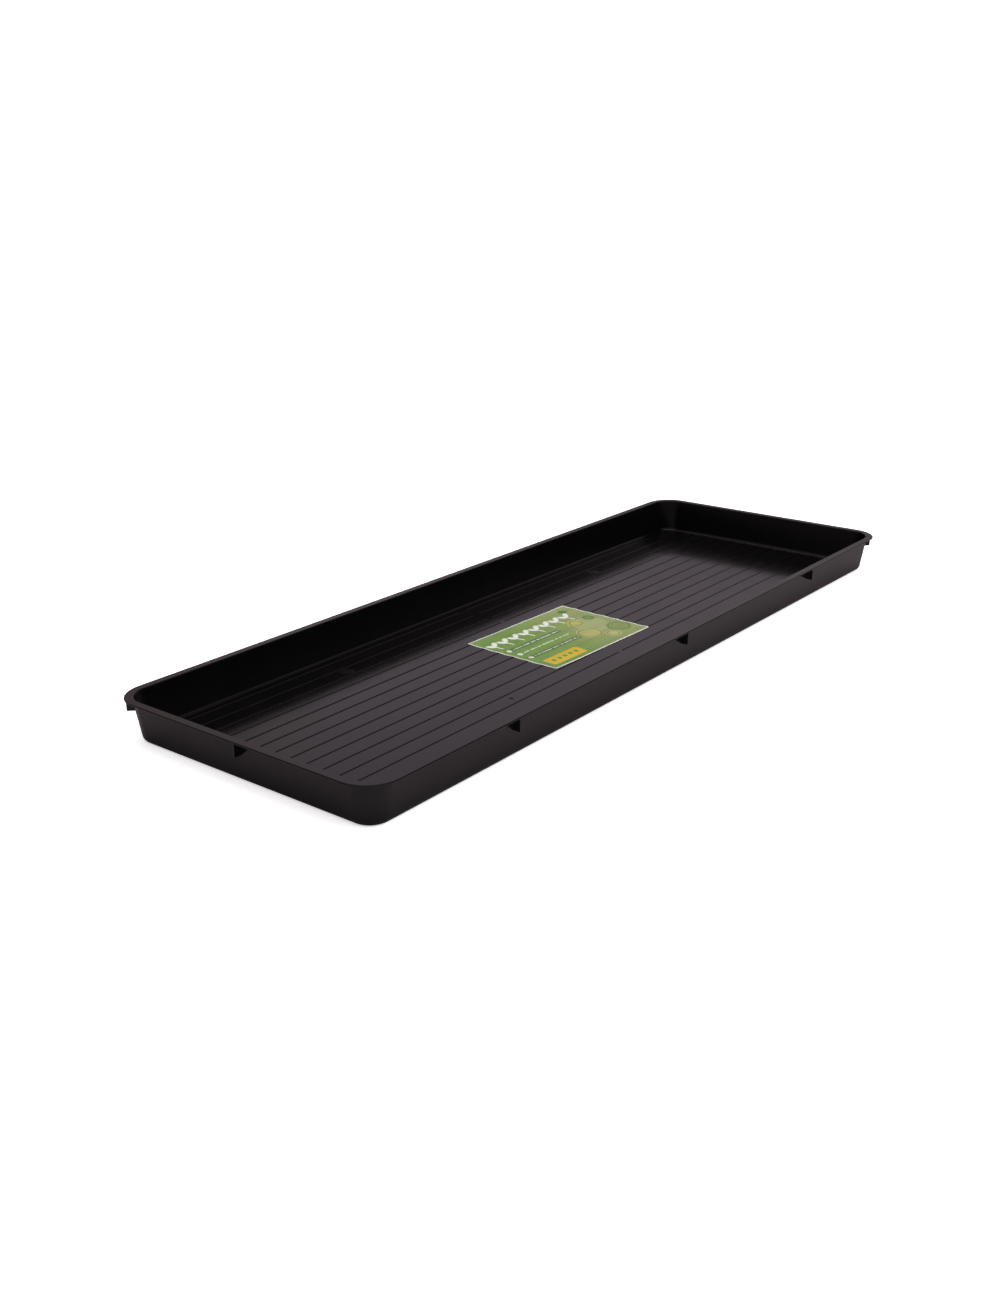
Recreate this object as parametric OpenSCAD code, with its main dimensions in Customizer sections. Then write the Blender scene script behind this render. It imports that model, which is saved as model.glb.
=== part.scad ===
// Long shallow garden tray for pots and seedlings: one plastic moulding and one paper label.
// Length runs along X, width along Y. The origin is on the ground, under the middle of the tray.

/* [Tray] */
// Length over the rim
tray_length = 1200; // [600:10:1800]
// Width over the rim
tray_width = 416; // [280:2:600]
// Height from the ground to the top of the rim
tray_height = 56; // [42:1:70]
// Thickness of the four walls
wall_thickness = 2.2; // [1.6:0.1:3.2]
// Lean of the walls from upright, in degrees
wall_lean = 9; // [4:0.5:12]
// Outer radius of the bend from wall to base
base_bend_radius = 9; // [6:0.5:12]
// Inner radius of the bend from wall to floor
floor_bend_radius = 4.5; // [3:0.5:6]
// Thickness of the floor panel
floor_thickness = 2.5; // [1.6:0.1:4]

/* [Foot] */
// Height of the floor panel's underside above the ground
foot_height = 2.6; // [1.2:0.1:4]
// Width of the flat band that the tray stands on
foot_width = 10; // [6:0.5:13]

/* [Rim] */
// How far the rim stands out past the top of the walls
rim_overhang = 9.2; // [6:0.2:12]
// Thickness of the rim, whose outer edge is a full round
rim_thickness = 2.2; // [1.8:0.1:3]
// Plan radius of the rim at the corners
rim_corner_radius = 43; // [42:1:70]
// Radius of the edge from the top of the rim to the inside of the walls
lip_radius = 1.2; // [0.6:0.1:2]

/* [Floor ribs] */
// Spacing of the ribs
rib_pitch = 25.4; // [18:0.2:36]
// Width of a rib at its root
rib_width = 2.4; // [1.6:0.1:4]
// Width of the flat top of a rib
rib_crown = 1.4; // [0.6:0.1:1.5]
// Height of a rib above the floor
rib_height = 0.8; // [0.4:0.1:1.6]
// Length of the break in every rib at mid-length
rib_break = 12; // [4:1:30]
// Height of the trace that is left of a rib in its break
trace_height = 0.1; // [0.05:0.05:0.3]

/* [Gussets] */
// Spacing of the gussets along the sides
gusset_spacing = 358; // [220:2:500]
// How far the gusset of each end stands from the middle of that end
end_gusset_shift = 4.5; // [0:0.5:12]
// Thickness of a gusset
gusset_thickness = 3; // [2:0.2:5]
// Depth of a gusset below the rim
gusset_drop = 16.6; // [10:0.2:24]
// How far a gusset stays back from the outer edge of the rim
gusset_setback = 1.6; // [1.2:0.1:3]
// Radius of the lower outer corner of a gusset
gusset_corner_radius = 1.6; // [0.6:0.1:2.4]

/* [Mould marks] */
// Diameter of the four round ejector pads on the floor
pad_diameter = 21; // [8:0.5:22]
// Height of an ejector pad above the floor
pad_height = 0.3; // [0.1:0.1:0.6]
// Distance of the ejector pads from mid-length
pad_reach = 281; // [140:1:500]
// Diameter of the dimple where the mould was fed
gate_diameter = 7; // [4:0.5:12]
// Depth of the dimple
gate_depth = 0.6; // [0.3:0.1:1]
// Distance of the dimple from mid-length
gate_reach = 225; // [140:1:500]

/* [Label] */
// Length of the label
label_length = 216; // [120:2:240]
// Width of the label
label_width = 155; // [90:1:180]
// Thickness of the label with its glue
label_thickness = 0.3; // [0.2:0.05:0.6]
// Plan radius of the corners of the label
label_corner_radius = 2.5; // [1:0.5:8]
// Turn of the label on the floor, in degrees
label_turn = -1.5; // [-5:0.5:5]

/* [Hidden] */
$fn = 64;

plastic = [0.035, 0.033, 0.036];
print_green = [0.42, 0.66, 0.2];

arc_steps = 8;
half_length = tray_length / 2;
half_width = tray_width / 2;
floor_top = foot_height + floor_thickness;
rib_top = floor_top + rib_height;
rim_underside = tray_height - rim_thickness;
// Sunk depth of anything that grows out of the floor
root_depth = floor_thickness / 2;

// Distance in from the rim's outer edge to the wall's outer and inner faces at height z
function outer_face(z) = rim_overhang + (rim_underside - z) * tan(wall_lean);
function inner_face(z) = outer_face(z) + wall_thickness / cos(wall_lean);

// Points of an arc about [x, z], from one angle to another
function arc(x, z, r, from, to) =
    [for (i = [0:arc_steps]) let (a = from + (to - from) * i / arc_steps) [x + r * cos(a), z + r * sin(a)]];

// Where a round of radius r with its centre at height z touches a wall face
function face_height(z, r) = z - r * sin(wall_lean);
function bend_centre(z, r, face) = face + r * cos(wall_lean);

outer_bend = bend_centre(base_bend_radius, base_bend_radius,
                         outer_face(face_height(base_bend_radius, base_bend_radius)));
inner_bend_height = floor_top + floor_bend_radius;
inner_bend = bend_centre(inner_bend_height, floor_bend_radius,
                         inner_face(face_height(inner_bend_height, floor_bend_radius)));
lip_height = tray_height - lip_radius;
lip_centre = inner_face(lip_height + lip_radius * sin(wall_lean)) - lip_radius * cos(wall_lean);
edge_radius = rim_thickness / 2;
foot_inside = outer_bend + foot_width;

// Half sizes of the flat floor between the inner bends
floor_half_length = half_length - inner_bend;
floor_half_width = half_width - inner_bend;
ribs_each_side = floor((floor_half_width - rib_width / 2) / rib_pitch);

// Centre of the plan radius at the far right corner
corner_x = half_length - rim_corner_radius;
corner_y = half_width - rim_corner_radius;

// Section through foot, wall and rim, as distance in from the rim's edge and height
section = concat(
    arc(edge_radius, rim_underside + edge_radius, edge_radius, 270, 90),
    arc(lip_centre, lip_height, lip_radius, 90, wall_lean),
    arc(inner_bend, inner_bend_height, floor_bend_radius, 180 + wall_lean, 270),
    [[foot_inside, floor_top], [foot_inside, 0]],
    arc(outer_bend, base_bend_radius, base_bend_radius, 270, 180 + wall_lean),
    [[outer_face(rim_underside), rim_underside]]
);

// The same section, measured outwards from the centre of a corner
module wall_section() {
    polygon([for (p = section) [rim_corner_radius - p[0], p[1]]]);
}

module upright_slab(thickness) {
    rotate([90, 0, 0])
        linear_extrude(height = thickness, center = true)
            children();
}

module wall_run(reach, run) {
    translate([reach, 0, 0])
        upright_slab(run)
            wall_section();
}

module wall_corner() {
    translate([corner_x, corner_y, 0])
        rotate_extrude(angle = 90)
            wall_section();
}

module walls() {
    for (turn = [0, 180])
        rotate([0, 0, turn]) {
            wall_run(corner_x, 2 * corner_y);
            rotate([0, 0, 90])
                wall_run(corner_y, 2 * corner_x);
            wall_corner();
            mirror([1, 0, 0])
                wall_corner();
        }
}

module rounded_plate(x_size, y_size, radius, thickness) {
    linear_extrude(height = thickness) {
        square([x_size - 2 * radius, y_size], center = true);
        square([x_size, y_size - 2 * radius], center = true);
        for (x = [-1, 1], y = [-1, 1])
            translate([x * (x_size / 2 - radius), y * (y_size / 2 - radius)])
                circle(r = radius);
    }
}

// The panel laps half way across the foot band
module floor_panel() {
    lap = foot_width / 2;
    translate([0, 0, foot_height])
        rounded_plate(2 * (half_length - foot_inside + lap), 2 * (half_width - foot_inside + lap),
                      rim_corner_radius - foot_inside + lap, floor_thickness);
}

// How far from mid-length the rib at y ends, inside the bend of the end wall or of the corner
function rib_reach(y) =
    let (past_corner = max(0, abs(y) + rib_width / 2 - corner_y))
    corner_x + sqrt(pow(rim_corner_radius - inner_face(rib_top), 2) - pow(past_corner, 2));

module rib(y) {
    translate([0, y, floor_top])
        rotate([90, 0, 90])
            linear_extrude(height = 2 * rib_reach(y), center = true)
                polygon([
                    [-rib_width / 2, -root_depth],
                    [rib_width / 2, -root_depth],
                    [rib_width / 2, 0],
                    [rib_crown / 2, rib_height],
                    [-rib_crown / 2, rib_height],
                    [-rib_width / 2, 0]
                ]);
}

// Takes every rib down to a low trace where it crosses mid-length
module rib_break_cut() {
    translate([0, 0, floor_top + trace_height + rib_height])
        cube([rib_break, tray_width, 2 * rib_height], center = true);
}

module ribs() {
    difference() {
        for (i = [-ribs_each_side:ribs_each_side])
            rib(i * rib_pitch);
        rib_break_cut();
    }
}

// An upright plate below the rim, rooted in the rim and in the wall
module gusset(reach) {
    low = rim_underside - gusset_drop;
    root = wall_thickness / 2;
    outline = concat(
        [[gusset_setback, rim_underside + edge_radius]],
        arc(gusset_setback + gusset_corner_radius, low + gusset_corner_radius, gusset_corner_radius, 180, 270),
        [[outer_face(low) + root, low], [outer_face(rim_underside) + root, rim_underside + edge_radius]]
    );
    upright_slab(gusset_thickness)
        polygon([for (p = outline) [reach - p[0], p[1]]]);
}

// Gussets stand along a side at whole steps, as far as its straight run goes
module side_gussets(reach, run, shift) {
    each_way = floor((run / 2 - gusset_thickness) / gusset_spacing);
    for (i = [-each_way:each_way])
        translate([0, i * gusset_spacing + shift, 0])
            gusset(reach);
}

module corner_gusset() {
    translate([corner_x, corner_y, 0])
        rotate([0, 0, 45])
            gusset(rim_corner_radius);
}

module gussets() {
    for (turn = [0, 180])
        rotate([0, 0, turn]) {
            side_gussets(half_length, 2 * corner_y, end_gusset_shift);
            rotate([0, 0, 90])
                side_gussets(half_width, 2 * corner_x, 0);
            corner_gusset();
            mirror([1, 0, 0])
                corner_gusset();
        }
}

// The pads lie between the second and third ribs from each long wall
module ejector_pads() {
    for (x = [-1, 1], y = [-1, 1])
        translate([x * pad_reach, y * (ribs_each_side - 1.5) * rib_pitch, floor_top - root_depth])
            cylinder(d = pad_diameter, h = root_depth + pad_height);
}

// The dimple lies between two ribs, half way from the middle to a long wall
module gate_dimple() {
    row = floor(ribs_each_side / 2) + 0.5;
    translate([-gate_reach, -row * rib_pitch, floor_top - gate_depth])
        cylinder(d = gate_diameter, h = gate_depth + rib_height);
}

module tray_moulding() {
    color(plastic)
        difference() {
            union() {
                walls();
                floor_panel();
                ribs();
                gussets();
                ejector_pads();
            }
            gate_dimple();
        }
}

// The label lies on the crowns of the middle ribs
module label() {
    color(print_green)
        translate([0, 0, rib_top])
            rotate([0, 0, label_turn])
                rounded_plate(label_length, label_width, label_corner_radius, label_thickness);
}

tray_moulding();
label();
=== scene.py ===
from math import copysign, cos, degrees, exp, hypot, pi, radians, sin, sqrt, tan

import bmesh
import bpy
from mathutils import Matrix, Vector


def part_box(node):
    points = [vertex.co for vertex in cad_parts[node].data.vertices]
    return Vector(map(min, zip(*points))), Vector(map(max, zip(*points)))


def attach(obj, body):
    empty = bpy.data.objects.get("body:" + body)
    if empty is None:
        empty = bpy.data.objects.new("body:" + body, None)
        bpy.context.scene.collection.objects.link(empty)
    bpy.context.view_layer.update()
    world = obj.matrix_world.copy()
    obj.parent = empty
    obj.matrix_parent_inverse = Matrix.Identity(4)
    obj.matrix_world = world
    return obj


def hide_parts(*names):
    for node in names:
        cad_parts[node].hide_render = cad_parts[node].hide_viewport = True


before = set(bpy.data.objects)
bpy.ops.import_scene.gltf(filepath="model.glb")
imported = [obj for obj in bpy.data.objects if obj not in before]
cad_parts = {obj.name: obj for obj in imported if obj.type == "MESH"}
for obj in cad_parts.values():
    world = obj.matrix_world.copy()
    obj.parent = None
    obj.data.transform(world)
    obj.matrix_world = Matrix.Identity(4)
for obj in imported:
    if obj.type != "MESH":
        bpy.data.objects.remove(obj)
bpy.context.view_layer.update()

# Tray: one injection moulding in black polypropylene. Its thin walls lean outwards to a rim with a
# full-round edge, gussets stiffen the rim from below, and low ribs keep pots off the wet floor.
# Ribs are grooves milled in the steel mould, so they are sharp at the root and soft on the crown.
MM = 0.001
tray_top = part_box("tray_moulding")[1]
half_length, half_width, tray_height = tray_top

wall_thickness = 2.2 * MM
wall_lean = radians(9)
base_bend_radius = 9 * MM
floor_bend_radius = 4.5 * MM
floor_thickness = 2.5 * MM
foot_height = 2.6 * MM
foot_width = 10 * MM
foot_edge_radius = 0.4 * MM
rim_overhang = 9.2 * MM
rim_thickness = 2.2 * MM
rim_corner_radius = 43 * MM
lip_radius = 1.2 * MM

rib_pitch = 25.4 * MM
rib_width = 2.4 * MM
rib_crown = 1.4 * MM
rib_height = 0.8 * MM
rib_edge_radius = 0.3 * MM
rib_break = 12 * MM

gusset_spacing = 358 * MM
end_gusset_shift = 4.5 * MM
gusset_thickness = 3 * MM
gusset_drop = 16.6 * MM
gusset_setback = 1.6 * MM
gusset_corner_radius = 1.6 * MM

# The mould's ejector pins push on the pads, and the plastic comes in at the gate's dimple
pad_diameter = 21 * MM
pad_height = 0.3 * MM
pad_reach = 281 * MM
gate_diameter = 7 * MM
gate_depth = 0.6 * MM
gate_reach = 225 * MM

# The shading of a flat face is held flat up to these distances from its edges
rim_margin = 2 * MM
section_margin = 0.4 * MM
crease_angle = radians(17)

floor_top = foot_height + floor_thickness
rib_top = floor_top + rib_height
rim_underside = tray_height - rim_thickness
rim_edge_radius = rim_thickness / 2
root_depth = floor_thickness / 2


def outer_face(height):
    """Distance in from the rim's edge to the outside of the wall."""
    return rim_overhang + (rim_underside - height) * tan(wall_lean)


def inner_face(height):
    """Distance in from the rim's edge to the inside of the wall."""
    return outer_face(height) + wall_thickness / cos(wall_lean)


def bend_centre(face, height, radius):
    """Distance in to the centre of a bend that touches a face of the wall."""
    return face(height - radius * sin(wall_lean)) + radius * cos(wall_lean)


inner_bend_height = floor_top + floor_bend_radius
outer_bend = bend_centre(outer_face, base_bend_radius, base_bend_radius)
inner_bend = bend_centre(inner_face, inner_bend_height, floor_bend_radius)
lip_height = tray_height - lip_radius
lip_centre = inner_face(lip_height + lip_radius * sin(wall_lean)) - lip_radius * cos(wall_lean)
foot_inside = outer_bend + foot_width
corner_x = half_length - rim_corner_radius
corner_y = half_width - rim_corner_radius
lean_degrees = degrees(wall_lean)

ribs_each_side = int((half_width - inner_bend - rib_width / 2) / rib_pitch)
pad_row = (ribs_each_side - 1.5) * rib_pitch
gate_row = -(ribs_each_side // 2 + 0.5) * rib_pitch


def arc(x, y, radius, start, end, steps=12):
    """Points of an arc about (x, y), from one angle in degrees to another."""
    angles = [radians(start + (end - start) * step / steps) for step in range(steps + 1)]
    return [(x + radius * cos(angle), y + radius * sin(angle)) for angle in angles]


def held_flat(points, margin):
    """Adds a point near each end of every long edge, so that the shading stays flat between them."""
    held = []
    for here, ahead in zip(points, points[1:] + points[:1]):
        held.append(here)
        edge = Vector(ahead) - Vector(here)
        if edge.length > 5 * margin:
            step = edge.normalized() * margin
            held += [tuple(Vector(here) + step), tuple(Vector(ahead) - step)]
    return held


def rounded_outline(half_x, half_y, radius, steps=24):
    """An oblong with round corners, seen from above, anticlockwise from the far right corner."""
    points = []
    for side_x, side_y, start in ((1, 1, 0), (-1, 1, 90), (-1, -1, 180), (1, -1, 270)):
        centre = side_x * (half_x - radius), side_y * (half_y - radius)
        points += arc(*centre, radius, start, start + 90, steps)
    return points


# The wall's section from the rim's round edge, over the lip, down the inside, round the foot and up
# the outside. Its points are (distance out from the rim's edge, height), anticlockwise.
wall_section = [
    (-inward, height)
    for inward, height in arc(rim_edge_radius, rim_underside + rim_edge_radius, rim_edge_radius, 270, 90)
    + arc(lip_centre, lip_height, lip_radius, 90, lean_degrees)
    + arc(inner_bend, inner_bend_height, floor_bend_radius, 180 + lean_degrees, 270)
    + [(foot_inside, floor_top)]
    + arc(foot_inside - foot_edge_radius, foot_edge_radius, foot_edge_radius, 360, 270, 4)
    + arc(outer_bend, base_bend_radius, base_bend_radius, 270, 180 + lean_degrees)
    + [(outer_face(rim_underside), rim_underside)]
]

rib_flank = (rib_width - rib_crown) / 2
rib_section = (
    [(-rib_width / 2, -root_depth), (rib_width / 2, -root_depth), (rib_width / 2, 0)]
    + arc(rib_crown / 2 - rib_edge_radius / 2, rib_height - rib_edge_radius, rib_edge_radius, 30, 90, 4)
    + arc(rib_edge_radius / 2 - rib_crown / 2, rib_height - rib_edge_radius, rib_edge_radius, 90, 150, 4)
    + [(-rib_width / 2, 0)]
)

gusset_low = rim_underside - gusset_drop
gusset_outline = [
    (-inward, height)
    for inward, height in [(gusset_setback, rim_underside + rim_edge_radius)]
    + arc(gusset_setback + gusset_corner_radius, gusset_low + gusset_corner_radius,
          gusset_corner_radius, 180, 270, 6)
    + [(outer_face(gusset_low) + wall_thickness / 2, gusset_low),
       (outer_face(rim_underside) + wall_thickness / 2, rim_underside + rim_edge_radius)]
]


def rib_reach(y):
    """How far from mid-length the rib at y ends, inside the bend of the end wall or of the corner."""
    past_corner = max(0, abs(y) + rib_width / 2 - corner_y)
    return corner_x + sqrt((rim_corner_radius - inner_face(rib_top)) ** 2 - past_corner ** 2)


def gusset_stations():
    """Places on the rim's edge, each with the way it faces: three a side, one an end, one a corner."""
    half_round = [(half_length, end_gusset_shift, 0)]
    half_round += [(step * gusset_spacing, half_width, 90) for step in (-1, 0, 1)]
    for side, facing in ((1, 45), (-1, 135)):
        half_round.append((side * corner_x + rim_corner_radius * cos(radians(facing)),
                           corner_y + rim_corner_radius * sin(radians(facing)), facing))
    return [(Matrix.Rotation(radians(turn), 3, "Z") @ Vector((x, y, 0)), radians(facing + turn))
            for turn in (0, 180) for x, y, facing in half_round]


scratch = []


def marked(name, stations, value):
    """Points that the tree builds on, each with a value, kept only while the tray is made."""
    marks = bpy.data.meshes.new(name)
    marks.from_pydata([place for place, _ in stations], [], [])
    amounts = marks.attributes.new(value, "FLOAT", "POINT")
    amounts.data.foreach_set("value", [amount for _, amount in stations])
    made = bpy.data.objects.new(name, marks)
    bpy.context.scene.collection.objects.link(made)
    scratch.append(made)
    return made


def drawn(name, points):
    """A closed outline in the XY plane, kept only while the tray is made."""
    outline = bpy.data.curves.new(name, "CURVE")
    outline.dimensions = "3D"
    outline.twist_mode = "Z_UP"
    spline = outline.splines.new("POLY")
    spline.points.add(len(points) - 1)
    for spot, (x, y) in zip(spline.points, points):
        spot.co = (x, y, 0, 1)
    spline.use_cyclic_u = True
    made = bpy.data.objects.new(name, outline)
    bpy.context.scene.collection.objects.link(made)
    scratch.append(made)
    return made


def hung(points):
    """Turns a section over, because a profile's second axis hangs down from its path."""
    return [(x, -height) for x, height in reversed(points)]


def add(tree, kind, inputs=None, **settings):
    """Adds a node with its settings, and gives its inputs values, links or lists of links."""
    made = tree.nodes.new(kind)
    for setting, value in settings.items():
        setattr(made, setting, value)
    for socket, value in (inputs or {}).items():
        for source in value if isinstance(value, list) else [value]:
            if isinstance(source, bpy.types.NodeSocket):
                tree.links.new(source, made.inputs[socket])
            else:
                made.inputs[socket].default_value = source
    return made


moulding = bpy.data.node_groups.new("tray moulding", "GeometryNodeTree")
tree_inputs = (
    ("Rim outline", "Object"), ("Wall section", "Object"), ("Floor outline", "Object"),
    ("Floor underside", "Vector"), ("Floor top", "Vector"), ("Rib section", "Object"),
    ("Rib start", "Vector"), ("Rib end", "Vector"), ("Rib stations", "Object"),
    ("Gusset outline", "Object"), ("Half gusset", "Vector"), ("Gusset stations", "Object"),
    ("Pads apart along", "Float"), ("Pads apart across", "Float"),
    ("Pad radius", "Float"), ("Pad depth", "Float"), ("Pad height", "Vector"),
    ("Gate", "Object"), ("Crease", "Float"), ("Plastic", "Material"),
)
for name, kind in tree_inputs:
    moulding.interface.new_socket(name=name, in_out="INPUT", socket_type="NodeSocket" + kind)
moulding.interface.new_socket(name="Tray", in_out="OUTPUT", socket_type="NodeSocketGeometry")
given = add(moulding, "NodeGroupInput").outputs
shapes = {name: add(moulding, "GeometryNodeObjectInfo", {"Object": given[name]}).outputs["Geometry"]
          for name, kind in tree_inputs if kind == "Object"}
carried = [add(moulding, "GeometryNodeInputNamedAttribute", {"Name": name}, data_type="FLOAT")
           for name in ("share of reach", "facing")]
share_of_reach, facing = [value.outputs["Attribute"] for value in carried]


def bar(start, end, outline):
    """A solid bar from one point to another, with one of the given outlines as its section."""
    path = add(moulding, "GeometryNodeCurvePrimitiveLine", {"Start": start, "End": end})
    solid = {"Curve": path.outputs["Curve"], "Profile Curve": shapes[outline], "Fill Caps": True}
    return add(moulding, "GeometryNodeCurveToMesh", solid).outputs["Mesh"]


walls = {"Curve": shapes["Rim outline"], "Profile Curve": shapes["Wall section"], "Fill Caps": True}
walls = add(moulding, "GeometryNodeCurveToMesh", walls).outputs["Mesh"]
panel = bar(given["Floor underside"], given["Floor top"], "Floor outline")

half_rib = bar(given["Rib start"], given["Rib end"], "Rib section")
shortened = {"X": share_of_reach, "Y": 1, "Z": 1}
shortened = add(moulding, "ShaderNodeCombineXYZ", shortened).outputs["Vector"]
half_ribs = {"Points": shapes["Rib stations"], "Instance": half_rib, "Scale": shortened}
ribs = []
for turn in (0, pi):
    turned = {**half_ribs, "Rotation": (0, 0, turn)}
    ribs.append(add(moulding, "GeometryNodeInstanceOnPoints", turned).outputs["Instances"])

other_half = {0: given["Half gusset"], "Scale": -1}
other_half = add(moulding, "ShaderNodeVectorMath", other_half, operation="SCALE").outputs["Vector"]
gusset = bar(other_half, given["Half gusset"], "Gusset outline")
outwards = {"Axis": (0, 0, 1), "Angle": facing}
outwards = add(moulding, "FunctionNodeAxisAngleToRotation", outwards).outputs["Rotation"]
gussets = {"Points": shapes["Gusset stations"], "Instance": gusset, "Rotation": outwards}
gussets = add(moulding, "GeometryNodeInstanceOnPoints", gussets).outputs["Instances"]

pad_grid = {"Size X": given["Pads apart along"], "Size Y": given["Pads apart across"]}
pad_grid = add(moulding, "GeometryNodeMeshGrid", {**pad_grid, "Vertices X": 2, "Vertices Y": 2})
pad_grid = {"Geometry": pad_grid.outputs["Mesh"], "Translation": given["Pad height"]}
pad_grid = add(moulding, "GeometryNodeTransform", pad_grid).outputs["Geometry"]
pad = {"Vertices": 48, "Radius": given["Pad radius"], "Depth": given["Pad depth"]}
pad = add(moulding, "GeometryNodeMeshCylinder", pad).outputs["Mesh"]
pads = {"Points": pad_grid, "Instance": pad}
pads = add(moulding, "GeometryNodeInstanceOnPoints", pads).outputs["Instances"]

grown = add(moulding, "GeometryNodeJoinGeometry", {"Geometry": [*ribs, gussets, pads]})
grown = add(moulding, "GeometryNodeRealizeInstances", {"Geometry": grown.outputs["Geometry"]})
shot = {"Mesh 2": [walls, panel, grown.outputs["Geometry"]]}
shot = add(moulding, "GeometryNodeMeshBoolean", shot, operation="UNION", solver="EXACT")
shot = {"Mesh 1": shot.outputs["Mesh"], "Mesh 2": shapes["Gate"]}
shot = add(moulding, "GeometryNodeMeshBoolean", shot, operation="DIFFERENCE", solver="EXACT")

bend = add(moulding, "GeometryNodeInputMeshEdgeAngle").outputs["Unsigned Angle"]
creased = {"A": bend, "B": given["Crease"]}
creased = add(moulding, "FunctionNodeCompare", creased, operation="GREATER_THAN")
smooth = {"Geometry": shot.outputs["Mesh"], "Shade Smooth": True}
smooth = add(moulding, "GeometryNodeSetShadeSmooth", smooth, domain="FACE").outputs["Geometry"]
smooth = {"Geometry": smooth, "Selection": creased.outputs["Result"], "Shade Smooth": False}
smooth = add(moulding, "GeometryNodeSetShadeSmooth", smooth, domain="EDGE").outputs["Geometry"]
whole = add(moulding, "GeometryNodeRealizeInstances", {"Geometry": smooth}).outputs["Geometry"]
finished = {"Geometry": whole, "Material": given["Plastic"]}
finished = add(moulding, "GeometryNodeSetMaterial", finished).outputs["Geometry"]
add(moulding, "NodeGroupOutput", {"Tray": finished})


def linear(hex_colour):
    """A linear colour from an sRGB hex value."""
    shares = [int(hex_colour[start:start + 2], 16) / 255 for start in (1, 3, 5)]
    return tuple([(share / 12.92) if share <= 0.04045 else ((share + 0.055) / 1.055) ** 2.4
                  for share in shares] + [1])


def new_material(name):
    """An empty material, with its tree and its shader."""
    made = bpy.data.materials.new(name)
    made.use_nodes = True
    tree = made.node_tree
    tree.nodes.clear()
    shader = add(tree, "ShaderNodeBsdfPrincipled")
    add(tree, "ShaderNodeOutputMaterial", {"Surface": shader.outputs["BSDF"]})
    return made, tree, shader


def patches(tree, place, size, low, high, detail, roughness=0.5):
    """Soft patches about one size across, which differ from low to high."""
    cloud = {"Vector": place, "Scale": 1 / size, "Detail": detail, "Roughness": roughness}
    cloud = add(tree, "ShaderNodeTexNoise", cloud).outputs["Fac"]
    # Nearly all of a noise lies between 0.3 and 0.7
    level = {"Value": cloud, "From Min": 0.3, "From Max": 0.7, "To Min": low, "To Max": high}
    return add(tree, "ShaderNodeMapRange", level).outputs["Result"]


def raise_relief(tree, shader, reliefs):
    """Gives a surface its fine relief: patterns, each with its depth, one on top of the other."""
    normal = {}
    for pattern, depth in reliefs:
        bump = {"Height": pattern, "Distance": depth, "Strength": 1, **normal}
        normal = {"Normal": add(tree, "ShaderNodeBump", bump).outputs["Normal"]}
    tree.links.new(normal["Normal"], shader.inputs["Normal"])


def black_polypropylene():
    """Moulded polypropylene, coloured through with carbon black, from a polished mould.
    It is close to black by itself, so the eye sees the room in its soft gloss: the sheen is a
    little uneven, faint draw marks run up the walls, and the flats are not quite flat."""
    made, tree, shader = new_material("black polypropylene")
    spot = add(tree, "ShaderNodeTexCoord").outputs["Object"]
    tone = {"Factor": patches(tree, spot, 35 * MM, 0, 1, detail=4),
            "A": linear("#050505"), "B": linear("#080707")}
    tone = add(tree, "ShaderNodeMix", tone, data_type="RGBA")
    tree.links.new(tone.outputs["Result"], shader.inputs["Base Color"])

    # Ejector pins are turned, not polished, so the round pads are duller and have fine rings. The
    # real rings are finer, and are drawn as coarse as they need to be to show
    pad_edge = 0.5 * MM
    pad_dullness = 0.2
    ring_pitch = 1.8 * MM
    ring_depth = 0.012 * MM
    quarter = add(tree, "ShaderNodeVectorMath", {0: spot}, operation="ABSOLUTE").outputs["Vector"]
    quarter = add(tree, "ShaderNodeMapping", {"Vector": quarter, "Scale": (1, 1, 0)}).outputs["Vector"]
    centre = {0: quarter, 1: (pad_reach, pad_row, 0)}
    from_centre = add(tree, "ShaderNodeVectorMath", centre, operation="DISTANCE").outputs["Value"]
    pad = {"Value": from_centre, "From Min": pad_diameter / 2, "From Max": pad_diameter / 2 - pad_edge}
    pad = add(tree, "ShaderNodeMapRange", pad).outputs["Result"]
    ring = {0: from_centre, 1: 2 * pi / ring_pitch}
    ring = add(tree, "ShaderNodeMath", ring, operation="MULTIPLY").outputs["Value"]
    ring = add(tree, "ShaderNodeMath", {0: ring}, operation="SINE").outputs["Value"]
    rings = add(tree, "ShaderNodeMath", {0: ring, 1: pad}, operation="MULTIPLY").outputs["Value"]

    sheen = patches(tree, spot, 60 * MM, -0.02, 0.02, detail=5, roughness=0.65)
    base = {0: sheen, 1: patches(tree, spot, 2.5 * MM, 0.15, 0.18, detail=3)}
    base = add(tree, "ShaderNodeMath", base, operation="ADD").outputs["Value"]
    rough = {0: pad, 1: pad_dullness, 2: base}
    rough = add(tree, "ShaderNodeMath", rough, operation="MULTIPLY_ADD").outputs["Value"]
    tree.links.new(rough, shader.inputs["Roughness"])
    shader.inputs["IOR"].default_value = 1.49

    # The flats' slow waves, the draw marks, stretched up the walls, and the mould's fine grain, which
    # is drawn coarser than the real one so that it shows
    upright = {"Vector": spot, "Scale": (1, 1, 0.06)}
    upright = add(tree, "ShaderNodeMapping", upright).outputs["Vector"]
    reliefs = []
    for place, size, detail, depth in (
        (spot, 90 * MM, 1, 0.06 * MM), (upright, 5 * MM, 3, 0.004 * MM),
        (spot, 0.9 * MM, 2, 0.0012 * MM),
    ):
        pattern = {"Vector": place, "Scale": 1 / size, "Detail": detail}
        reliefs.append((add(tree, "ShaderNodeTexNoise", pattern).outputs["Fac"], depth))
    raise_relief(tree, shader, (*reliefs, (rings, ring_depth)))
    return made


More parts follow.
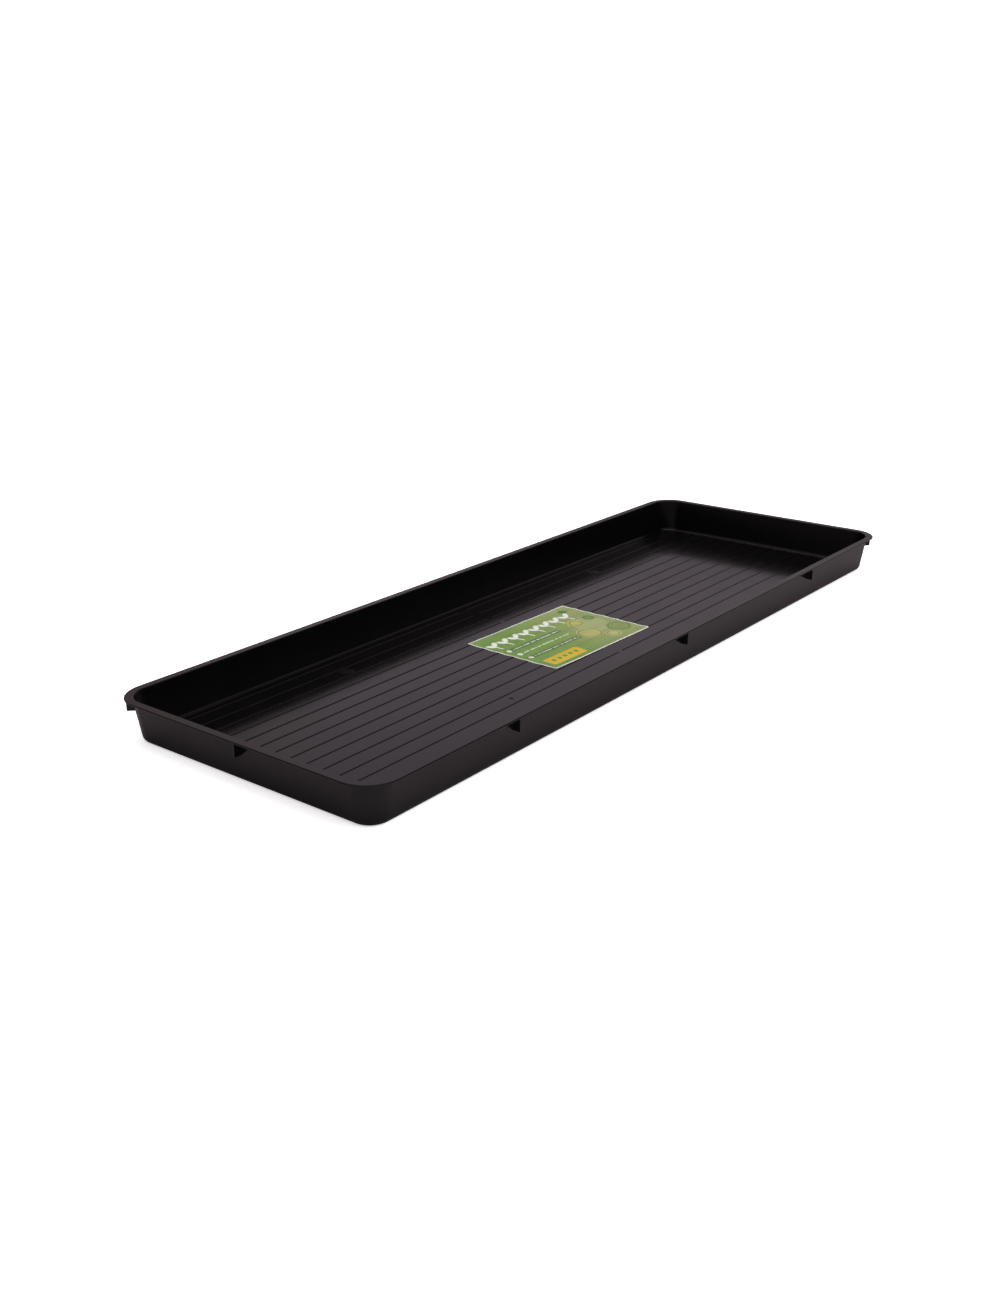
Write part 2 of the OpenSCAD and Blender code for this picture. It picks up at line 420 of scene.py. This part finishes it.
# The moulding gate leaves a shallow round dish in the floor.
gate_radius = gate_diameter / 2
dish_radius = (gate_radius ** 2 + gate_depth ** 2) / (2 * gate_depth)
bpy.ops.mesh.primitive_uv_sphere_add(
    segments=96, ring_count=96, radius=dish_radius,
    location=(-gate_reach, gate_row, floor_top - gate_depth + dish_radius))
gate = bpy.context.object
bpy.ops.object.transform_apply()
scratch.append(gate)

rim_outline = rounded_outline(half_length, half_width, rim_corner_radius)
rib_rows = [step * rib_pitch for step in range(-ribs_each_side, ribs_each_side + 1)]
rib_stations = [(Vector((0, y, floor_top)), rib_reach(y) / rib_reach(0)) for y in rib_rows]
lap = foot_width / 2
floor_outline = rounded_outline(half_length - foot_inside + lap, half_width - foot_inside + lap,
                                rim_corner_radius - foot_inside + lap)
sizes = {
    "Rim outline": drawn("rim outline", held_flat(rim_outline, rim_margin)),
    "Wall section": drawn("wall section", hung(held_flat(wall_section, section_margin))),
    "Floor outline": drawn("floor outline", floor_outline),
    "Floor underside": (0, 0, foot_height),
    "Floor top": (0, 0, floor_top),
    "Rib section": drawn("rib section", hung(rib_section)),
    "Rib start": (rib_break / 2, 0, 0),
    "Rib end": (rib_reach(0), 0, 0),
    "Rib stations": marked("rib stations", rib_stations, "share of reach"),
    "Gusset outline": drawn("gusset outline", hung(gusset_outline)),
    "Half gusset": (0, gusset_thickness / 2, 0),
    "Gusset stations": marked("gusset stations", gusset_stations(), "facing"),
    "Pads apart along": 2 * pad_reach,
    "Pads apart across": 2 * pad_row,
    "Pad radius": pad_diameter / 2,
    "Pad depth": 2 * pad_height,
    "Pad height": (0, 0, floor_top),
    "Gate": gate,
    "Crease": crease_angle,
    "Plastic": black_polypropylene(),
}


def made_by(tree, name, sizes):
    """Runs a tree with its sizes and keeps what it makes as a plain mesh."""
    maker = bpy.data.objects.new(name, bpy.data.meshes.new(name))
    bpy.context.scene.collection.objects.link(maker)
    step = maker.modifiers.new(name, "NODES")
    step.node_group = tree
    for socket in tree.interface.items_tree:
        if socket.in_out == "INPUT":
            step[socket.identifier] = sizes[socket.name]
    seen = maker.evaluated_get(bpy.context.evaluated_depsgraph_get())
    plain = bpy.data.meshes.new_from_object(seen)
    maker.modifiers.remove(step)
    maker.data = plain
    return maker


tray = made_by(moulding, "tray_shell", sizes)
for helper in scratch:
    bpy.data.objects.remove(helper)
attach(tray, "root")
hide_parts("tray_moulding")

# Label: one sheet of coated white paper, offset printed in greens and yellow and stuck down on the
# crowns of the middle ribs. It sags a little between them, and its edges and near corner have lifted.
label_length = 216 * MM
label_width = 155 * MM
label_corner_radius = 2.5 * MM
label_turn = radians(-1.5)
paper_thickness = 0.14 * MM
paper_sag = 0.6 * MM
edge_lift = 0.3 * MM
edge_reach = 7 * MM
ripple_length = 17 * MM
ripple_width = 13 * MM
corner_lift = 0.5 * MM
corner_reach = 30 * MM
corner_stiffness = 0.6


def paper_height(along, across):
    """Height of the paper's underside: down between ribs, a little up at the edges and near corner."""
    across_tray = along * sin(label_turn) + across * cos(label_turn)
    between_ribs = (1 - cos(2 * pi * across_tray / rib_pitch)) / 2
    nearest_edge = min(label_length / 2 - abs(along), label_width / 2 - abs(across))
    edge = exp(-nearest_edge / edge_reach)
    ripple = 0.5 + 0.5 * sin(along / ripple_length + 1.3) * cos(across / ripple_width + 0.4)
    from_corner = hypot(along + label_length / 2, across + label_width / 2)
    curl = exp(-(from_corner / corner_reach) ** 2)
    sag = paper_sag * between_ribs * (1 - corner_stiffness * curl)
    return rib_top + edge_lift * edge * ripple + corner_lift * curl - sag


def paper_sheet(name, columns=120, rows=108):
    """A thin sheet of even thickness with rounded corners, made of a front, a back and an edge."""
    turned = Matrix.Rotation(label_turn, 3, "Z")
    made = bmesh.new()
    faces = []
    for lift in (paper_thickness, 0):
        grid = []
        for row in range(rows + 1):
            line = []
            for column in range(columns + 1):
                along = label_length * (column / columns - 0.5)
                across = label_width * (row / rows - 0.5)
                # The outermost points draw in to the corner's radius
                over_x = abs(along) - (label_length / 2 - label_corner_radius)
                over_y = abs(across) - (label_width / 2 - label_corner_radius)
                if over_x > 0 and over_y > 0:
                    reach = hypot(over_x, over_y) / max(over_x, over_y)
                    along -= copysign(over_x - over_x / reach, along)
                    across -= copysign(over_y - over_y / reach, across)
                height = paper_height(along, across) + lift
                line.append(made.verts.new(turned @ Vector((along, across, height))))
            grid.append(line)
        for row in range(rows):
            for column in range(columns):
                corners = (grid[row][column], grid[row][column + 1],
                           grid[row + 1][column + 1], grid[row + 1][column])
                made.faces.new(corners if lift else corners[::-1])
        faces.append(grid)
    front, under = faces
    around = [(0, column) for column in range(columns)]
    around += [(row, columns) for row in range(rows)]
    around += [(rows, column) for column in range(columns, 0, -1)]
    around += [(row, 0) for row in range(rows, 0, -1)]
    for (row, column), (next_row, next_column) in zip(around, around[1:] + around[:1]):
        made.faces.new((under[row][column], under[next_row][next_column],
                        front[next_row][next_column], front[row][column]))
    sheet = bpy.data.meshes.new(name)
    made.to_mesh(sheet)
    made.free()
    sheet.polygons.foreach_set("use_smooth", [True] * (2 * rows * columns) + [False] * len(around))
    piece = bpy.data.objects.new(name, sheet)
    bpy.context.scene.collection.objects.link(piece)
    return piece


def printed_paper():
    """Offset print on coated paper, with a satin face that is a little cockled.
    The print is plain shapes in flat inks, placed in millimetres from the middle of the label: a
    border, a row of sprouts, strips with dashes, discs and a panel."""
    made, tree, shader = new_material("coated printed paper")
    spot = add(tree, "ShaderNodeTexCoord").outputs["Object"]
    sheet = {"Vector": spot, "Rotation": (0, 0, -label_turn), "Scale": (1 / MM, 1 / MM, 0)}
    sheet = add(tree, "ShaderNodeMapping", sheet).outputs["Vector"]

    # Half the width over which an ink fades out at its edge
    ink_edge = 0.3

    def covers(value, start, end):
        """How far an ink covers: not at all up to the start of a value, and fully past its end."""
        cover = {"Value": value, "From Min": start, "From Max": end}
        return add(tree, "ShaderNodeMapRange", cover, interpolation_type="SMOOTHSTEP").outputs["Result"]

    def oval(place, x, y, half_x, half_y, turn=0):
        """The cover of an oval about (x, y), turned by degrees."""
        within = {"Vector": place, "Location": (x, y, 0), "Rotation": (0, 0, radians(turn)),
                  "Scale": (half_x, half_y, 1)}
        within = add(tree, "ShaderNodeMapping", within, vector_type="TEXTURE").outputs["Vector"]
        reach = add(tree, "ShaderNodeVectorMath", {0: within}, operation="LENGTH").outputs["Value"]
        soft = ink_edge / min(half_x, half_y)
        return covers(reach, 1 + soft, 1 - soft)

    def panel(place, x, y, half_x, half_y, corner):
        """The cover of a panel about (x, y), with rounded corners."""
        outward = place
        for operation, by in (
            ("SUBTRACT", (x, y, 0)), ("ABSOLUTE", (0, 0, 0)),
            ("SUBTRACT", (half_x - corner, half_y - corner, 0)), ("MAXIMUM", (0, 0, 0)),
        ):
            outward = add(tree, "ShaderNodeVectorMath", {0: outward, 1: by}, operation=operation)
            outward = outward.outputs["Vector"]
        reach = add(tree, "ShaderNodeVectorMath", {0: outward}, operation="LENGTH").outputs["Value"]
        return covers(reach, corner + ink_edge, corner - ink_edge)

    def repeated(pitch):
        """The place on the sheet, begun again at every pitch along it."""
        past_edge = label_length / MM
        turn_back = {0: sheet, 1: (pitch / 2, past_edge, 1), 2: (-pitch / 2, -past_edge, -1)}
        return add(tree, "ShaderNodeVectorMath", turn_back, operation="WRAP").outputs["Vector"]

    def inked(under, ink, cover, *screens):
        """Lays an ink over what is there, as far as it covers and as its screens let it through."""
        for screen in screens:
            cover = add(tree, "ShaderNodeMath", {0: cover, 1: screen}, operation="MULTIPLY")
            cover = cover.outputs["Value"]
        colours = {"Factor": cover, "A": under, "B": linear(ink)}
        return add(tree, "ShaderNodeMix", colours, data_type="RGBA").outputs["Result"]

    # Cloudy patterns, each by the size of its patches: the drift and the mottle of the ink, and the
    # cockle and the fibres of the paper, which are coarser than real ones so that they show
    clouds = [add(tree, "ShaderNodeTexNoise", {"Vector": sheet, "Scale": 1 / size, "Detail": detail})
              for size, detail in ((45, 2), (16, 3), (14, 2), (0.5, 2))]
    drift, mottle, cockle, fibre = [cloud.outputs["Fac"] for cloud in clouds]
    along = add(tree, "ShaderNodeSeparateXYZ", {"Vector": sheet}).outputs["X"]

    # Field: leaf green, yellower and paler towards the right, with a soft mottle
    drifted = add(tree, "ShaderNodeMath", {0: drift, 1: 50, 2: along}, operation="MULTIPLY_ADD")
    field = inked(linear("#678a3d"), "#8c995f", covers(drifted.outputs["Value"], -40, 110))
    field = inked(field, "#7e9a4c", covers(mottle, 0.42, 0.62), 0.35)

    # Discs of paler ink at the right, lapped over each other, each with a darker ring
    for x, y, radius, ink, screen in (
        (66, -6, 34, "#a2ab77", 0.6), (36, -26, 20, "#b2af66", 0.7), (86, -40, 19, "#7a8d4d", 0.7),
        (56, 14, 13, "#b6b25e", 0.75), (88, 16, 10, "#6a8947", 0.8), (56, -52, 12, "#bbb977", 0.7),
    ):
        field = inked(field, ink, oval(sheet, x, y, radius, radius), screen)
        outside, inside = [oval(sheet, x, y, radius - inset, radius - inset) for inset in (2.5, 4.5)]
        ring = add(tree, "ShaderNodeMath", {0: outside, 1: inside}, operation="SUBTRACT")
        field = inked(field, "#3c562a", ring.outputs["Value"], 0.6)

    # A row of sprouts, repeated along the sheet: a stem and two oval leaves
    sprout_pitch = 23
    sprout_count = 8
    row = repeated(sprout_pitch)
    sprout = oval(row, -5, 44, 7.6, 3.6, 128)
    for part in (oval(row, 5.4, 47, 8.4, 4, 48), panel(row, 0, 34, 1.3, 8.5, 1.1)):
        sprout = add(tree, "ShaderNodeMath", {0: sprout, 1: part}, operation="MAXIMUM").outputs["Value"]
    row_length = sprout_count * sprout_pitch
    row_shown = panel(sheet, -sprout_pitch / 2, 42, row_length / 2, 20, 2)
    field = inked(field, "#dbdfd5", sprout, row_shown)

    # Three strips, each with a line of uneven dashes and a round dot
    dash_length = 4.2
    for line, (y, ink) in enumerate(((14, "#3d5c37"), (-5, "#698d39"), (-24, "#3d5c37"))):
        field = inked(field, ink, panel(sheet, -42, y, 58, 4.6, 1.2), 0.7)
        breaks = add(tree, "ShaderNodeMath", {0: along, 1: 71 * line}, operation="ADD").outputs["Value"]
        breaks = {"W": breaks, "Scale": 1 / dash_length, "Detail": 0}
        breaks = add(tree, "ShaderNodeTexNoise", breaks, noise_dimensions="1D").outputs["Fac"]
        dashes = covers(breaks, 0.40, 0.44)
        field = inked(field, "#c7d1bc", dashes, panel(sheet, -36, y, 50, 1.4, 0.6), 0.85)
        field = inked(field, "#ced4c7", oval(sheet, -94, y, 4, 4))

    # A yellow panel with a row of plain green dots, and one more dot in the far corner
    panel_x, panel_y = -60, -55
    dot_pitch = 12
    dots_shown = panel(sheet, panel_x, panel_y, 2.5 * dot_pitch, 6, 2)
    field = inked(field, "#c8ad2c", panel(sheet, panel_x, panel_y, 36, 12, 4))
    field = inked(field, "#6a892b", oval(repeated(dot_pitch), 0, panel_y, 3.6, 3.6), dots_shown)
    field = inked(field, "#4a7a42", oval(sheet, 84, 60, 7, 7))

    # The unprinted border
    border = 2.2
    printed = panel(sheet, 0, 0, label_length / 2 / MM - border, label_width / 2 / MM - border, 1.5)
    bare = add(tree, "ShaderNodeMath", {0: 1, 1: printed}, operation="SUBTRACT").outputs["Value"]
    face = inked(field, "#e0e2d9", bare)
    tree.links.new(face, shader.inputs["Base Color"])

    rough = patches(tree, sheet, 1.2, 0.3, 0.42, detail=3)
    tree.links.new(rough, shader.inputs["Roughness"])
    shader.inputs["IOR"].default_value = 1.45
    raise_relief(tree, shader, ((cockle, 0.08 * MM), (fibre, 0.004 * MM)))
    return made


label = paper_sheet("label_sheet")
label.data.materials.append(printed_paper())
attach(label, "root")
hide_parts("label")
# The photograph's deep blacks swallow the label's image in the back wall
label.visible_glossy = False

# Studio: a white table in a white cove, under a wide softbox. The gloss of the tray sees a greyer
# table and a darker room than the eye does, because the photograph's background was lifted to white
# after it was taken.
table_reach = 60
table_gap = 0.05 * MM


def laminate(piece, name, paint, glow):
    """Matt laminate on a part of the set, with a white glow of its own."""
    piece.name = name
    surface, tree, shader = new_material(name)
    shader.inputs["Base Color"].default_value = linear(paint)
    shader.inputs["Roughness"].default_value = 0.8
    shader.inputs["Specular IOR Level"].default_value = 0
    shader.inputs["Emission Color"].default_value = linear("#ffffff")
    shader.inputs["Emission Strength"].default_value = glow
    piece.data.materials.append(surface)
    return piece


bpy.ops.mesh.primitive_plane_add(size=2 * table_reach)
table = laminate(bpy.context.object, "white table", "#ffffff", 0.62)
table.visible_glossy = False

bpy.ops.mesh.primitive_plane_add(size=2 * table_reach, location=(0, 0, table_gap))
bpy.ops.object.transform_apply()
table_in_gloss = laminate(bpy.context.object, "table in the gloss", "#9c9294", 0)
table_in_gloss.visible_camera = False

bpy.ops.mesh.primitive_uv_sphere_add(radius=table_reach)
cove = laminate(bpy.context.object, "white cove", "#000000", 1.5)
cove.visible_glossy = False

for part in (table_in_gloss, cove):
    part.visible_diffuse = False
    part.visible_shadow = False

room = bpy.data.worlds.new("studio")
room.use_nodes = True
tree = room.node_tree
tree.nodes.clear()
direction = add(tree, "ShaderNodeTexCoord").outputs["Generated"]
rise = add(tree, "ShaderNodeSeparateXYZ", {"Vector": direction}).outputs["Z"]


def brightness(tint, stops):
    """Light of the room by elevation in degrees."""
    ramp = add(tree, "ShaderNodeValToRGB", {"Fac": rise})
    while len(ramp.color_ramp.elements) < len(stops):
        ramp.color_ramp.elements.new(1)
    for stop, (elevation, grey) in zip(ramp.color_ramp.elements, stops):
        stop.position = sin(radians(elevation))
        stop.color = (*[grey * part for part in tint], 1)
    return ramp.outputs["Color"]


def turned_to(azimuth, start, end, one, other):
    """Goes over from one light to another as the direction turns to an azimuth in degrees from +X."""
    axis = (cos(radians(azimuth)), sin(radians(azimuth)), 0)
    facing = add(tree, "ShaderNodeVectorMath", {0: direction, 1: axis}, operation="DOT_PRODUCT")
    share = {"Value": facing.outputs["Value"], "From Min": start, "From Max": end}
    share = add(tree, "ShaderNodeMapRange", share, interpolation_type="SMOOTHSTEP").outputs["Result"]
    sides = {"Factor": share, "A": one, "B": other}
    return add(tree, "ShaderNodeMix", sides, data_type="RGBA").outputs["Result"]


# Each side of the room has a pale band low down, which shows in the tray's floor and rims, then a
# dark height that keeps its inner walls deep, and all share a pale ceiling
pinkish, reddish = (1.09, 0.93, 1.03), (1.18, 0.92, 0.92)
ceiling = ((64, 0.55), (90, 0.8))
far_side = brightness(pinkish, (
    (0, 0.4), (7, 0.3), (12, 0.08), (14.5, 0.14), (16, 0.42), (18, 0.46), (26, 0.4),
    (40, 0.07), (54, 0.07), *ceiling))
far_left = brightness(reddish, (
    (0, 0.3), (7, 0.2), (12, 0.05), (14.5, 0.09), (16, 0.25), (18, 0.27), (26, 0.24),
    (40, 0.07), (54, 0.07), *ceiling))
near_side = brightness(pinkish, (
    (0, 0.1), (12, 0.15), (18, 0.33), (23, 0.3), (31, 0.18), (40, 0.06), (54, 0.06), *ceiling))
walls_of_room = turned_to(135, 0, 0.18, far_side, far_left)
walls_of_room = turned_to(38.5, 0.5, 0.75, near_side, walls_of_room)
light = add(tree, "ShaderNodeBackground", {"Color": walls_of_room})
add(tree, "ShaderNodeOutputWorld", {"Surface": light.outputs["Background"]})
bpy.context.scene.world = room

lamp = bpy.data.lights.new("overhead softbox", "SUN")
lamp.angle = radians(100)
lamp.energy = 2.9
softbox = bpy.data.objects.new("overhead softbox", lamp)
softbox.rotation_euler = (radians(20), radians(17), 0)
softbox.visible_glossy = False
bpy.context.scene.collection.objects.link(softbox)

# Camera: the photograph's viewing angle, from the near left and a little above, worked out from the
# rims, the ribs and the label. Its lens sees the whole length of the tray from under two metres.
camera_azimuth = radians(-51.4965)
camera_elevation = radians(20.0988)
camera_roll = radians(-0.4583)
camera_distance = 1.873
camera_target = Vector((-0.0848, 0.0397, 0))
lens = bpy.data.cameras.new("camera")
lens.sensor_width = 36
lens.lens = 37.79
lens.clip_end = 200
back = Vector((sin(camera_azimuth) * cos(camera_elevation),
               -cos(camera_azimuth) * cos(camera_elevation), sin(camera_elevation)))
right = Vector((cos(camera_azimuth), sin(camera_azimuth), 0))
up = back.cross(right)
turned_right = right * cos(camera_roll) + up * sin(camera_roll)
turned_up = up * cos(camera_roll) - right * sin(camera_roll)
camera = bpy.data.objects.new("camera", lens)
camera.matrix_world = Matrix.Translation(camera_target + back * camera_distance) @ Matrix(
    (turned_right, turned_up, back)).transposed().to_4x4()
bpy.context.scene.collection.objects.link(camera)
bpy.context.scene.camera = camera
bpy.context.scene.view_settings.view_transform = "Standard"
